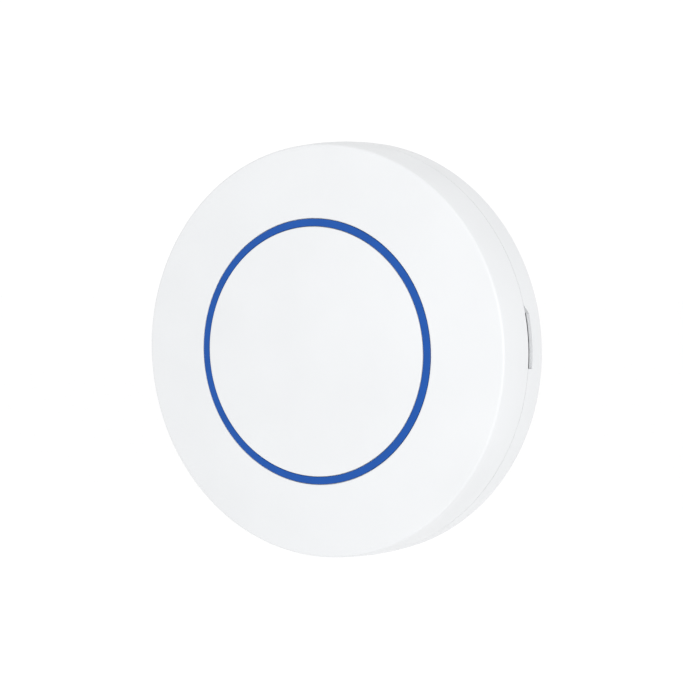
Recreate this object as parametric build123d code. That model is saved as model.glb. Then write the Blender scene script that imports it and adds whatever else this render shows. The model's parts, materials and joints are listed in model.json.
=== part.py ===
from build123d import *
import os

# A round ceiling access point: a white disc with a slightly domed face and a status-light ring
# in it, twisted onto a mounting bracket that is screwed to the ceiling.
#
# Every piece is first drawn in the unit's own build frame: the mounting plane is z = 0, the
# face points along +Z, and +Y is the top edge of the unit when it hangs on a wall.  place()
# then turns it into the part's frame, where the face points along -Y and +Z is up.
# All sizes are millimetres.

# ---- outer shape ----
MOUNT_GAP = 0.5            # the shell's back edge stands this far off the mounting plane
FACE_Z = 32.6              # height of the face's rim above the mounting plane
FACE_RADIUS = 90.3         # corner radius of the face, before its edge is rounded
FACE_DOME = 3.6            # the middle of the face stands this far in front of its rim
FLANK_SLOPE = 0.200        # how fast the flank widens at the face
FLANK_CURVE = 0.00273      # how fast that widening dies away towards the back
EDGE_ROUND = 1.2           # rounding where the face meets the flank
SHELL = 2.0                # wall of both plastic shells
FACE_THICKNESS = 2.2
SEAM_Z = 13.8              # parting line between the front cover and the rear base
SEAM_GAP = 0.3

# ---- pry notch in the rear base, at the parting line ----
NOTCH_START = -3.4         # degrees from +X
NOTCH_END = 13.7
NOTCH_TAPER = 4.2          # degrees over which its upper end runs out
NOTCH_WIDTH = 3.4
NOTCH_DEPTH = 2.2

# ---- status-light ring ----
RING_INNER = 54.8
RING_OUTER = 58.0
RING_MID = (RING_INNER + RING_OUTER) / 2
RING_CLEARANCE = 0.2
GROOVE_DEPTH = 1.2
RING_SINK = 0.1            # the ring's face lies this far below the cover's face
LIGHT_COUNT = 12
FIRST_LIGHT = 15.0         # degrees from +X
WINDOW_SPAN = 24.0         # degrees of each light window under the ring
RING_BED = 0.02            # the ring rests on this much adhesive

# ---- mounting bracket and the twist lock ----
BRACKET_RADIUS = 58.0
BRACKET_THICKNESS = 2.0
CABLE_HOLE_RADIUS = 20.0
SCREW_CIRCLE = 84.0        # diameter of the circle of ceiling screws
SCREW_HOLE_RADIUS = 2.2
BOX_SLOT_SPACING = 60.0    # slots for a round wall or ceiling box
BOX_SLOT_LENGTH = 8.0
STUD_CIRCLE_RADIUS = 50.0
STUD_STEM_RADIUS = 2.6
STUD_HEAD_RADIUS = 4.6
STUD_HEAD_THICKNESS = 1.5
STUD_COUNT = 4
TWIST = 15.0               # degrees from locked to free
KEYHOLE_CLEARANCE = 0.35
COLLAR_WIDTH = 1.6         # raised collars that stiffen the plate at its hole and its edge
COLLAR_TOP = 3.2
HUB_SLOT_INNER = 31.0      # lightening slots round the cable hole
HUB_SLOT_OUTER = 37.0
HUB_SLOT_STARTS = (20, 200, 290)
HUB_SLOT_SPAN = 40.0
ARM_INNER = 31.2           # spring arm that carries the detent bump
ARM_OUTER = 36.8
ARM_CUT = 1.2              # width of the cut that frees the arm
ARM_START = 100.0
ARM_END = 140.0
ARM_TIP_CUT = 2.0          # degrees
DETENT_CIRCLE_RADIUS = (ARM_INNER + ARM_OUTER) / 2
DETENT_ANGLE = 134.0
DETENT_RADIUS = 1.4
DETENT_TOP = 3.5

# ---- rear base ----
RECESS_RADIUS = 62.0
RECESS_FLOOR_Z = 4.0
OUTER_FLOOR_TOP = MOUNT_GAP + SHELL
RECESS_FLOOR_TOP = RECESS_FLOOR_Z + SHELL
RIM_INNER = 89.1           # locating rim that stands up inside the front cover
RIM_OUTER = 90.4
RIM_TOP = 16.4
RIM_SHELF_Z = 10.5
BAY_HALF_WIDTH = 17.5      # bay that the network plugs are pushed into
BAY_BOTTOM = -34.0
BAY_TOP = 6.5
BAY_CEILING = 17.5
BAY_WALL = 1.6
BOSS_CIRCLE_RADIUS = 74.0
BOSS_RADIUS = 4.0
RESET_X = 30.0
RESET_Y = -64.0
RESET_STEM_RADIUS = 2.0
RESET_TRAVEL = 0.5
SEAMLESS_ANGLE = 285.0     # the turned wall closes here, where no feature cuts it
BACK_ROUND = 0.8
BOSS_PILOT_BOTTOM = 4.0
VENT_GROUPS = (45, 135, 225, 315)
VENTS_PER_GROUP = 5
VENT_STEP = 5.5            # degrees
VENT_INNER = 67.0
VENT_OUTER = 84.0
VENT_WIDTH = 2.2
RESET_TUBE_RADIUS = 3.6
RESET_TUBE_TOP = 11.6
PIN_HOLE_RADIUS = 1.1
LOCK_RIB_START = 126.0     # rib that the bracket's detent snaps past
LOCK_RIB_SPAN = 1.5
LOCK_RIB_HEIGHT = 0.4
LOCK_RIB_HALF_WIDTH = 1.5

# ---- rating label ----
LABEL_CENTRE = (-32.0, -2.0)
LABEL_WIDTH = 17.0
LABEL_LENGTH = 42.0
LABEL_THICKNESS = 0.2

# ---- snap tongues of the front cover ----
TONGUE_COUNT = 6
TONGUE_INNER = 86.5
TONGUE_OUTER = 88.4
TONGUE_REACH = 8.6
TONGUE_WIDTH = 12.0
TONGUE_ROOT_Z = 17.4       # the tongue joins the cover's wall above this height
TONGUE_TOP = 24.0
CATCH_MISS = 0.1           # the catches just pass the rim, so the rigid cover can slide off
CATCH_SPAN = 7.0           # degrees

# ---- heat spreader and main board ----
SPREADER_Z = 12.0
SPREADER_THICKNESS = 2.5
SPREADER_TOP = SPREADER_Z + SPREADER_THICKNESS
SPREADER_RADIUS = 80.0
BOARD_Z = 19.7
BOARD_THICKNESS = 1.6
BOARD_TOP = BOARD_Z + BOARD_THICKNESS
BOARD_RADIUS = 66.0
BOARD_SCREW_XY = 32.5
PILOT_RADIUS = 1.3
SHANK_RADIUS = 1.25
CLEAR_HOLE_RADIUS = 1.7
PAD_THICKNESS = 1.0
SPREADER_LIP_WIDTH = 1.6
SPREADER_LIP_HEIGHT = 1.5
SPREADER_LIP_INSET = 0.6
JACK_WINDOW_HALF_WIDTH = 20.5   # opening of the spreader that the jacks stand in
JACK_WINDOW_TOP = 31.0
JACK_WINDOW_MARGIN = 3.5
BOARD_POST_RADIUS = 3.4
RESET_PASSAGE_RADIUS = 4.6
SWITCH_TAB_WIDTH = 13.0    # tab of the board that reaches the reset switch
SWITCH_TAB_LENGTH = 16.0
SWITCH_TAB_SHIFT = 3.0

# ---- what stands on the board: centre x, centre y, side along x, side along y ----
SHIELDS = {
    "processor_shield": (-34.0, 2.0, 30.0, 30.0),
    "low_band_shield": (34.0, 14.0, 24.0, 20.0),
    "high_band_shield": (34.0, -14.0, 24.0, 20.0),
}
SHIELD_HEIGHT = 2.8
SHIELD_SHEET = 0.4
SHIELD_HOLE_RADIUS = 0.8
SHIELD_HOLE_PITCH = 4.0
SHIELD_HOLE_MARGIN = 6.0
TRANSFORMER_Y = 38.0
TRANSFORMER_PINS = (-5.0, 0.0, 5.0)
MAGNETICS_Y = 17.0
MAGNETICS_LEADS = 10       # on each side
MAGNETICS_PITCH = 1.5
INDUCTOR_CENTRE = (-20.0, -40.0)
CAPACITOR_XS = (-6.0, 4.5, 15.0)
CAPACITOR_Y = -42.0
PASSIVE_SIZE = (1.6, 0.9, 0.7)
PASSIVE_ROWS = (           # first x, first y, count, step along x, step along y
    (-17.0, 5.0, 9, 4.2, 0.0),
    (-15.0, -1.0, 8, 4.2, 0.0),
    (-17.0, -7.0, 9, 4.2, 0.0),
    (-14.0, -26.0, 8, 4.0, 0.0),
    (-30.0, -21.0, 5, 3.6, 0.0),
    (-44.0, 26.0, 2, 3.0, 2.6),
    (22.0, 28.0, 1, 0.0, 0.0),
    (24.0, -28.0, 2, 3.4, 0.0),
    (-16.0, 27.5, 2, 3.0, 0.0),
)
LED_SIZE = (2.6, 3.4, 1.1)

# ---- network jacks ----
JACK_WIDTH = 16.0
JACK_LENGTH = 21.0
JACK_HEIGHT = 13.4
JACK_X = 8.6               # centre of each jack, left and right of the middle
JACK_MOUTH_Y = BAY_TOP + 0.5
SOCKET_WIDTH = 11.9
SOCKET_HEIGHT = 8.6
SOCKET_DEPTH = 14.5
SOCKET_FLOOR = 2.6         # wall of the jack under the socket
LATCH_HALF_WIDTH = 3.1
LATCH_DEPTH = 9.0
LATCH_FLOOR = 1.0
CONTACT_COUNT = 8
CONTACT_PITCH = 1.02
CONTACT_WIRE = 0.45
CONTACT_LENGTH = 11.0
CONTACT_TILT = 7.0
CONTACT_MIDDLE = 8.4       # from the jack's mouth to the middle of the wires
CONTACT_DROP = 1.1         # from the socket's roof to the middle of the wires

# ---- antennas and their leads ----
ANTENNA_RADIUS = 74.0
ANTENNA_ANGLES = (45, 135, 225, 315)
ANTENNA_SHEET = 0.6
ANTENNA_TOP = 27.0
ANTENNA_HALF_WIDTH = 11.0
ANTENNA_FOOT = 6.0
ANTENNA_ROOF = 7.0
ANTENNA_ROOF_HALF_WIDTH = 14.0
LEAD_RADIUS = 0.6
LEAD_ACROSS = 68.6         # the lead runs along the board's edge at this distance
LEAD_BENDS = (3.6, 2.8, 1.2)
SOCKET_CIRCLE_RADIUS = 61.0
SOCKET_ASIDE = -13.0
SOCKET_TOP = 0.9
PLUG_RADIUS = 1.6
PLUG_BOTTOM = 0.3
PLUG_TOP = 2.3

# ---- reset switch and plunger ----
SWITCH_SIZE = 6.0
SWITCH_HEIGHT = 3.4
SWITCH_HOLE_RADIUS = 1.75
SWITCH_HOLE_DEPTH = 1.2    # wall left above the hole
PLUNGER_BOTTOM = 3.2
PLUNGER_SHOULDER = 15.0
PLUNGER_COLLAR = (12.2, 13.4)
PLUNGER_COLLAR_RADIUS = 3.0
PLUNGER_CAP_RADIUS = 1.68
PLUNGER_SLACK = 0.1

# ---- light guide and what holds it ----
GUIDE_BOTTOM = BOARD_TOP + 1.7
RETAINER_TOP = 27.3
RETAINER_THICKNESS = 1.8
GUIDE_FLANGE_Z = RETAINER_TOP + 0.1
RETAINER_SCREWS = 6
RETAINER_SCREW_RADIUS = 62.5
RIB_BOTTOM = 28.8
RIB_THICKNESS = 1.2
RIB_COUNT = 12
RIB_RING_RADIUS = 68.0
RIB_END_RADIUS = 86.0
GUIDE_FLANGE_THICKNESS = 1.0
COVER_BOSS_RADIUS = 2.6
COVER_PILOT_RADIUS = 1.05
COVER_PILOT_DEPTH = 4.2

JOIN = 0.5                 # a joined feature starts this far inside the wall it stands on
PAST = 1.0                 # a cutter runs on this far past the surface it cuts

ON_BASE = (Align.CENTER, Align.CENTER, Align.MIN)


def wall_radius(z):
    """Outer radius of the shell at one height: a gently swelling flank."""
    depth = FACE_Z - z
    return FACE_RADIUS + FLANK_SLOPE * depth - FLANK_CURVE * depth ** 2


def face_height(radius):
    """Height of the domed face above the mounting plane at one distance from its centre."""
    return FACE_Z + FACE_DOME * (1 - (radius / FACE_RADIUS) ** 2)


def inside_height(radius):
    return face_height(radius) - FACE_THICKNESS


GROOVE_Z = face_height(RING_OUTER) - GROOVE_DEPTH


def disc(radius, low, high):
    return Pos(0, 0, low) * Cylinder(radius, high - low, align=ON_BASE)


def ring(inner, outer, low, high):
    return disc(outer, low, high) - disc(inner, low, high)


def post(x, y, radius, low, high):
    return Pos(x, y, 0) * disc(radius, low, high)


def block(x_range, y_range, z_range):
    size = [high - low for low, high in (x_range, y_range, z_range)]
    middle = [(high + low) / 2 for low, high in (x_range, y_range, z_range)]
    return Pos(*middle) * Box(*size)


def centred_block(x, y, width, length, low, high, corner=0.0):
    """A block that stands on one spot of a board, with its upright edges rounded."""
    solid = Pos(x, y, low) * Box(width, length, high - low, align=ON_BASE)
    if corner:
        solid = fillet(solid.edges().filter_by(Axis.Z), corner)
    return solid


def turned(outline, start=0.0, span=360.0):
    """Turn an outline of (radius, height) edges about the unit's axis."""
    face = Plane.XZ * make_face(outline)
    return Rot(Z=start) * revolve(face, Axis.Z, revolution_arc=span)


def sector(inner, outer, low, high, start, end):
    corners = [(inner, low), (outer, low), (outer, high), (inner, high)]
    return turned(Polyline(*corners, close=True), start, end - start)


def polar(angle, radius=0.0, z=0.0):
    return Rot(Z=angle) * Pos(radius, 0, z)


def even_angles(count, first=0.0):
    return [first + 360.0 * i / count for i in range(count)]


def flank_arc(low, high, inset=0.0):
    """The flank's curve between two heights, drawn from the upper one down."""
    heights = (high, (high + low) / 2, low)
    return ThreePointArc(*[(wall_radius(z) - inset, z) for z in heights])


def face_arc(radius, inset=0.0):
    """The dome's curve from the unit's axis out to one radius."""
    return ThreePointArc(*[(r, face_height(r) - inset) for r in (0, radius / 2, radius)])


def group(solids):
    """Separate solids that share one node."""
    return Compound(children=[s for piece in solids for s in piece.solids()])


# ---------------------------------------------------------------- mounting bracket

def bracket_cut(inner, outer, start, end):
    """An arc-shaped cut right through the bracket's plate."""
    return sector(inner, outer, -PAST, BRACKET_THICKNESS + PAST, start, end)


def detent_arm_gaps():
    """The U-shaped cut that frees the bracket's spring arm."""
    inner = bracket_cut(ARM_INNER - ARM_CUT, ARM_INNER, ARM_START, ARM_END)
    outer = bracket_cut(ARM_OUTER, ARM_OUTER + ARM_CUT, ARM_START, ARM_END)
    tip = bracket_cut(ARM_INNER - ARM_CUT, ARM_OUTER + ARM_CUT, ARM_END - ARM_TIP_CUT, ARM_END)
    return inner + outer + tip


def screw_holes():
    holes = [polar(angle) * post(SCREW_CIRCLE / 2, 0, SCREW_HOLE_RADIUS, -PAST, BRACKET_THICKNESS + PAST)
             for angle in even_angles(4, 45)]
    outline = SlotOverall(BOX_SLOT_LENGTH, 2 * SCREW_HOLE_RADIUS)
    slot = extrude(outline, BRACKET_THICKNESS + 2 * PAST)
    return holes + [Pos(side * BOX_SLOT_SPACING / 2, 0, -PAST) * slot for side in (-1, 1)]


def collar(inner, width):
    return ring(inner, inner + width, BRACKET_THICKNESS / 2, COLLAR_TOP)


def stud(angle):
    """Headed stud that hooks into a keyhole of the rear base."""
    head_z = RECESS_FLOOR_TOP + KEYHOLE_CLEARANCE
    stem = disc(STUD_STEM_RADIUS, BRACKET_THICKNESS / 2, head_z + JOIN)
    head = disc(STUD_HEAD_RADIUS, head_z, head_z + STUD_HEAD_THICKNESS)
    head = chamfer(head.edges().group_by(Axis.Z)[-1], 0.6)
    return polar(angle, STUD_CIRCLE_RADIUS) * (stem + head)


def mounting_bracket():
    plate = disc(BRACKET_RADIUS, 0, BRACKET_THICKNESS)
    plate = chamfer(plate.edges().group_by(Axis.Z)[-1], 0.5)
    plate -= disc(CABLE_HOLE_RADIUS, -PAST, BRACKET_THICKNESS + PAST)
    for hole in screw_holes():
        plate -= hole
    plate -= detent_arm_gaps()
    for first in HUB_SLOT_STARTS:
        plate -= bracket_cut(HUB_SLOT_INNER, HUB_SLOT_OUTER, first, first + HUB_SLOT_SPAN)
    plate += collar(CABLE_HOLE_RADIUS, COLLAR_WIDTH)
    plate += collar(BRACKET_RADIUS - 3.0, COLLAR_WIDTH - 0.2)
    bump = disc(DETENT_RADIUS, BRACKET_THICKNESS / 2, DETENT_TOP)
    plate += polar(DETENT_ANGLE, DETENT_CIRCLE_RADIUS) * bump
    for angle in even_angles(STUD_COUNT):
        plate += stud(angle)
    return plate


# ---------------------------------------------------------------- rear base

def keyhole(angle):
    """Arc slot with a wide entry; the stud sits at its narrow end when locked."""
    low, high = RECESS_FLOOR_Z - 1, RECESS_FLOOR_TOP + 1
    narrow = STUD_STEM_RADIUS + KEYHOLE_CLEARANCE
    wide = STUD_HEAD_RADIUS + KEYHOLE_CLEARANCE
    slot = sector(STUD_CIRCLE_RADIUS - narrow, STUD_CIRCLE_RADIUS + narrow, low, high,
                  angle - TWIST, angle)
    locked_end = polar(angle, STUD_CIRCLE_RADIUS) * disc(narrow, low, high)
    entry = polar(angle - TWIST, STUD_CIRCLE_RADIUS) * disc(wide, low, high)
    return slot + locked_end + entry


def across_at(angle):
    """Sideways distance of the flank's point that lies at a small angle from +X."""
    return Vector(wall_radius(SEAM_Z), 0, 0).rotate(Axis.Z, angle).Y


def pry_notch():
    """A square-cut slot along the parting line; its upper end narrows to a point at the seam."""
    seam = SEAM_Z - SEAM_GAP / 2
    bottom = seam - NOTCH_WIDTH
    slot_floor = wall_radius(bottom) - NOTCH_DEPTH
    beyond = wall_radius(bottom) + 3.0
    slot = sector(slot_floor, beyond, bottom, seam + PAST, NOTCH_START, NOTCH_END + 2.0)
    below_start = across_at(NOTCH_START) - 5.0
    profile = Polyline((below_start, bottom - 2.0), (across_at(NOTCH_END - NOTCH_TAPER), bottom - 2.0),
                       (across_at(NOTCH_END), seam + PAST), (below_start, seam + PAST), close=True)
    return slot & extrude(Plane.YZ * make_face(profile), beyond + 2.0)


def rear_shell():
    """Outer wall, back ring, recess wall and recess floor, in one turned section."""
    seam = SEAM_Z - SEAM_GAP / 2
    flank = flank_arc(MOUNT_GAP, seam)
    inner_wall = wall_radius(MOUNT_GAP) - SHELL
    rest = Polyline(
        (wall_radius(MOUNT_GAP), MOUNT_GAP),
        (RECESS_RADIUS, MOUNT_GAP),
        (RECESS_RADIUS, RECESS_FLOOR_Z),
        (0, RECESS_FLOOR_Z),
        (0, RECESS_FLOOR_TOP),
        (RECESS_RADIUS + SHELL, RECESS_FLOOR_TOP),
        (RECESS_RADIUS + SHELL, OUTER_FLOOR_TOP),
        (inner_wall, OUTER_FLOOR_TOP),
        (inner_wall, RIM_SHELF_Z),
        (RIM_INNER, RIM_SHELF_Z),
        (RIM_INNER, RIM_TOP),
        (RIM_OUTER, RIM_TOP),
        (RIM_OUTER, seam),
        (wall_radius(seam), seam),
    )
    shell = turned(flank + rest, start=SEAMLESS_ANGLE)
    back_rims = shell.edges().filter_by(GeomType.CIRCLE).group_by(Axis.Z)[0]
    back_edge = back_rims.sort_by(SortBy.RADIUS)[-1]
    return fillet(back_edge, BACK_ROUND)


def port_bay_walls():
    return block((-BAY_HALF_WIDTH - BAY_WALL, BAY_HALF_WIDTH + BAY_WALL),
                 (BAY_BOTTOM - BAY_WALL, BAY_TOP), (RECESS_FLOOR_Z, BAY_CEILING + BAY_WALL))


def port_bay_hollow():
    """The bay is open towards the ceiling, and its upper end is closed by the jacks."""
    return block((-BAY_HALF_WIDTH, BAY_HALF_WIDTH), (BAY_BOTTOM, BAY_TOP + 0.1),
                 (RECESS_FLOOR_Z - PAST, BAY_CEILING))


def vent_slots():
    slot = block((VENT_INNER, VENT_OUTER), (-VENT_WIDTH / 2, VENT_WIDTH / 2), (0, OUTER_FLOOR_TOP + JOIN))
    return [polar(middle + VENT_STEP * (i - (VENTS_PER_GROUP - 1) / 2)) * slot
            for middle in VENT_GROUPS for i in range(VENTS_PER_GROUP)]


def spreader_boss():
    return post(BOSS_CIRCLE_RADIUS, 0, BOSS_RADIUS, OUTER_FLOOR_TOP - JOIN, SPREADER_Z)


def spreader_pilot():
    return post(BOSS_CIRCLE_RADIUS, 0, PILOT_RADIUS, BOSS_PILOT_BOTTOM, SPREADER_Z + PAST)


def rear_base():
    base = rear_shell() + port_bay_walls()
    base -= port_bay_hollow()
    for angle in even_angles(STUD_COUNT):
        base -= keyhole(angle)
    base -= pry_notch()
    for slot in vent_slots():
        base -= slot
    for angle in even_angles(4):
        base += polar(angle) * spreader_boss()
        base -= polar(angle) * spreader_pilot()
    base += post(RESET_X, RESET_Y, RESET_TUBE_RADIUS, OUTER_FLOOR_TOP - JOIN, RESET_TUBE_TOP)
    base -= post(RESET_X, RESET_Y, RESET_STEM_RADIUS + 0.08, OUTER_FLOOR_TOP, RESET_TUBE_TOP + PAST)
    base -= post(RESET_X, RESET_Y, PIN_HOLE_RADIUS, 0, OUTER_FLOOR_TOP + JOIN)
    lock_rib = sector(DETENT_CIRCLE_RADIUS - LOCK_RIB_HALF_WIDTH, DETENT_CIRCLE_RADIUS + LOCK_RIB_HALF_WIDTH,
                      RECESS_FLOOR_Z - LOCK_RIB_HEIGHT, RECESS_FLOOR_Z + JOIN,
                      LOCK_RIB_START, LOCK_RIB_START + LOCK_RIB_SPAN)
    return base + lock_rib


def rating_label():
    """Blank plate stuck to the recess floor, beside the port bay."""
    return centred_block(*LABEL_CENTRE, LABEL_WIDTH, LABEL_LENGTH,
                         RECESS_FLOOR_Z - LABEL_THICKNESS, RECESS_FLOOR_Z, corner=1.5)


# ---------------------------------------------------------------- screws

def screw(head_radius, head_height, shank_radius, length):
    """Pan-head screw with a cross recess, pointing down from the plane under its head."""
    head = disc(head_radius, 0, head_height)
    head = fillet(head.edges().group_by(Axis.Z)[-1], head_height * 0.45)
    arm = head_radius * 0.62
    for turn in (0, 90):
        head -= Rot(Z=turn) * block((-arm, arm), (-0.35, 0.35), (head_height * 0.45, head_height + PAST))
    return head + disc(shank_radius, -length, 0.1)


def spreader_screws():
    fastener = screw(head_radius=2.8, head_height=2.0, shank_radius=SHANK_RADIUS, length=9.5)
    return group(polar(angle, BOSS_CIRCLE_RADIUS, SPREADER_TOP) * fastener for angle in even_angles(4))


def board_screw_spots():
    return [(x, y) for x in (-BOARD_SCREW_XY, BOARD_SCREW_XY) for y in (-BOARD_SCREW_XY, BOARD_SCREW_XY)]


def board_screws():
    fastener = screw(head_radius=2.6, head_height=1.8, shank_radius=SHANK_RADIUS, length=6.2)
    return group(Pos(x, y, BOARD_TOP) * fastener for x, y in board_screw_spots())


# ---------------------------------------------------------------- heat spreader and chips

CHIPS = {  # name: centre x, centre y, side along x, side along y, height under the board
    "processor_chip": (-34.0, 2.0, 16.0, 16.0, 1.2),
    "low_band_radio_chip": (34.0, 13.0, 10.0, 10.0, 0.9),
    "high_band_radio_chip": (34.0, -13.0, 10.0, 10.0, 0.9),
}
MEMORY_CHIPS = ((-27.5, 21.5), (-39.5, 21.5))


def chip(x, y, width, length, height):
    solid = centred_block(x, y, width, length, BOARD_Z - height, BOARD_Z)
    return chamfer(solid.edges().group_by(Axis.Z)[0], 0.15)


def memory_chips():
    return group(chip(x, y, 9.0, 11.0, 1.0) for x, y in MEMORY_CHIPS)


def thermal_pads():
    return group(
        centred_block(x, y, width - 2, length - 2, BOARD_Z - height - PAD_THICKNESS, BOARD_Z - height, 0.8)
        for x, y, width, length, height in CHIPS.values())


def heat_spreader():
    """Cast aluminium plate: feet on the base, pedestals under the hot chips."""
    plate = disc(SPREADER_RADIUS, SPREADER_Z, SPREADER_TOP)
    plate = chamfer(plate.edges().group_by(Axis.Z)[-1], 0.6)
    lip_outer = SPREADER_RADIUS - SPREADER_LIP_INSET
    plate += ring(lip_outer - SPREADER_LIP_WIDTH, lip_outer, SPREADER_TOP - JOIN,
                  SPREADER_TOP + SPREADER_LIP_HEIGHT)
    window = block((-JACK_WINDOW_HALF_WIDTH, JACK_WINDOW_HALF_WIDTH),
                   (BAY_BOTTOM - JACK_WINDOW_MARGIN, JACK_WINDOW_TOP),
                   (SPREADER_Z - PAST, SPREADER_TOP + PAST))
    plate -= fillet(window.edges().filter_by(Axis.Z), 3.0)
    for x, y, width, length, height in CHIPS.values():
        top = BOARD_Z - height - PAD_THICKNESS
        plate += centred_block(x, y, width + 2, length + 2, SPREADER_TOP - JOIN, top, 2.0)
    for x, y in board_screw_spots():
        plate += post(x, y, BOARD_POST_RADIUS, SPREADER_TOP - JOIN, BOARD_Z)
        plate -= post(x, y, PILOT_RADIUS, SPREADER_Z - PAST, BOARD_Z + PAST)
    for angle in even_angles(4):
        spot = polar(angle, BOSS_CIRCLE_RADIUS)
        plate -= spot * disc(CLEAR_HOLE_RADIUS, SPREADER_Z - PAST, SPREADER_TOP + PAST)
    return plate - post(RESET_X, RESET_Y, RESET_PASSAGE_RADIUS, SPREADER_Z - PAST, SPREADER_TOP + PAST)


# ---------------------------------------------------------------- main board

def main_board():
    board = disc(BOARD_RADIUS, BOARD_Z, BOARD_TOP)
    board += centred_block(RESET_X, RESET_Y + SWITCH_TAB_SHIFT, SWITCH_TAB_WIDTH, SWITCH_TAB_LENGTH,
                           BOARD_Z, BOARD_TOP, 1.5)
    for x, y in board_screw_spots():
        board -= post(x, y, CLEAR_HOLE_RADIUS, BOARD_Z - PAST, BOARD_TOP + PAST)
    return board


def on_board(x, y, width, length, low, high, corner=0.0):
    """A block whose heights are counted from the board's top."""
    return centred_block(x, y, width, length, BOARD_TOP + low, BOARD_TOP + high, corner)


def shield_can(x, y, width, length):
    """Drawn sheet-metal can with small vent holes, open towards the board."""
    can = on_board(x, y, width, length, 0, SHIELD_HEIGHT, 1.2)
    can = chamfer(can.edges().group_by(Axis.Z)[-1], 0.3)
    can -= on_board(x, y, width - 2 * SHIELD_SHEET, length - 2 * SHIELD_SHEET,
                    -PAST, SHIELD_HEIGHT - SHIELD_SHEET, 0.8)
    columns = int((width - SHIELD_HOLE_MARGIN) // SHIELD_HOLE_PITCH)
    hole = disc(SHIELD_HOLE_RADIUS, BOARD_TOP + SHIELD_HEIGHT - PAST, BOARD_TOP + SHIELD_HEIGHT + PAST)
    for i in range(columns):
        hole_x = x + SHIELD_HOLE_PITCH * (i - (columns - 1) / 2)
        for row in (-1, 1):
            can -= Pos(hole_x, y + row * length * 0.28, 0) * hole
    return can


def transformer_core():
    """Ferrite frame that wraps the winding of the power transformer."""
    core = on_board(0, TRANSFORMER_Y, 20.0, 16.0, 1.0, 8.2)
    return core - on_board(0, TRANSFORMER_Y, 14.0, 17.0, 2.6, 6.6)


def transformer_winding():
    winding = on_board(0, TRANSFORMER_Y, 13.4, 19.0, 2.8, 6.4, 2.5)
    for x in TRANSFORMER_PINS:
        for side in (-1, 1):
            winding += on_board(x, TRANSFORMER_Y + side * 9.0, 1.0, 0.9, 0, 3.2)
    return winding


def power_inductor():
    body = on_board(*INDUCTOR_CENTRE, 11.0, 11.0, 0, 4.5, 2.5)
    return chamfer(body.edges().group_by(Axis.Z)[-1], 0.6)


def bulk_capacitors():
    """Aluminium cans, each on its plastic seat."""
    solids = []
    for x in CAPACITOR_XS:
        can = post(x, CAPACITOR_Y, 4.0, BOARD_TOP + 0.6, BOARD_TOP + 7.8)
        can = fillet(can.edges().group_by(Axis.Z)[-1], 0.6)
        solids.append(can + on_board(x, CAPACITOR_Y, 8.8, 8.8, 0, 0.9, 1.5))
    return group(solids)


def lan_magnetics():
    """Isolation transformer block with two rows of gull-wing leads."""
    body = on_board(0, MAGNETICS_Y, 16.0, 11.0, 0.3, 5.0)
    body = chamfer(body.edges().group_by(Axis.Z)[-1], 0.4)
    for i in range(MAGNETICS_LEADS):
        x = MAGNETICS_PITCH * (i - (MAGNETICS_LEADS - 1) / 2)
        for side in (-1, 1):
            body += on_board(x, MAGNETICS_Y + side * 6.0, 0.5, 2.2, 0, 0.8)
    return body


def board_passives():
    """Rows of small chip resistors and capacitors between the larger parts."""
    width, length, height = PASSIVE_SIZE
    return group(on_board(x + i * step_x, y + i * step_y, width, length, 0, height)
                 for x, y, count, step_x, step_y in PASSIVE_ROWS for i in range(count))


def status_leds():
    width, length, height = LED_SIZE
    led = on_board(0, 0, width, length, 0, height)
    return group(polar(angle, RING_MID) * led for angle in even_angles(LIGHT_COUNT, FIRST_LIGHT))


# ---------------------------------------------------------------- network jacks

def jack(side):
    """Shielded eight-way jack on the underside of the board, its mouth in the bay."""
    x = side * JACK_X
    low = BOARD_Z - JACK_HEIGHT
    shell = block((x - JACK_WIDTH / 2, x + JACK_WIDTH / 2), (JACK_MOUTH_Y, JACK_MOUTH_Y + JACK_LENGTH),
                  (low, BOARD_Z))
    socket_low = low + SOCKET_FLOOR
    shell -= block((x - SOCKET_WIDTH / 2, x + SOCKET_WIDTH / 2),
                   (JACK_MOUTH_Y - PAST, JACK_MOUTH_Y + SOCKET_DEPTH),
                   (socket_low, socket_low + SOCKET_HEIGHT))
    return shell - block((x - LATCH_HALF_WIDTH, x + LATCH_HALF_WIDTH),
                         (JACK_MOUTH_Y - PAST, JACK_MOUTH_Y + LATCH_DEPTH),
                         (low + LATCH_FLOOR, socket_low + PAST))


def jack_contacts(side):
    """Eight spring wires along the board side of the socket."""
    wire = Rot(X=CONTACT_TILT) * Box(CONTACT_WIRE, CONTACT_LENGTH, CONTACT_WIRE)
    y = JACK_MOUTH_Y + CONTACT_MIDDLE
    z = BOARD_Z - JACK_HEIGHT + SOCKET_FLOOR + SOCKET_HEIGHT - CONTACT_DROP
    first_x = side * JACK_X - CONTACT_PITCH * (CONTACT_COUNT - 1) / 2
    return group(Pos(first_x + CONTACT_PITCH * i, y, z) * wire for i in range(CONTACT_COUNT))


# ---------------------------------------------------------------- antennas

def antenna(angle):
    """Bent sheet antenna: foot on the spreader, upright wall, folded roof and a feed tab."""
    sheet, back, half = ANTENNA_SHEET, ANTENNA_RADIUS, ANTENNA_HALF_WIDTH
    foot = block((back - ANTENNA_FOOT, back), (-half, half), (SPREADER_TOP, SPREADER_TOP + sheet))
    wall = block((back - sheet, back), (-half, half), (SPREADER_TOP, ANTENNA_TOP))
    wall -= block((back - 2, back + PAST), (-8, 5), (SPREADER_TOP + 3, SPREADER_TOP + 6))
    roof = block((back - ANTENNA_ROOF, back), (-ANTENNA_ROOF_HALF_WIDTH, ANTENNA_ROOF_HALF_WIDTH),
                 (ANTENNA_TOP - sheet, ANTENNA_TOP))
    roof -= block((back - 5, back - 3), (-10, ANTENNA_ROOF_HALF_WIDTH + PAST),
                  (ANTENNA_TOP - PAST, ANTENNA_TOP + PAST))
    return Rot(Z=angle) * (foot + wall + roof)


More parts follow.
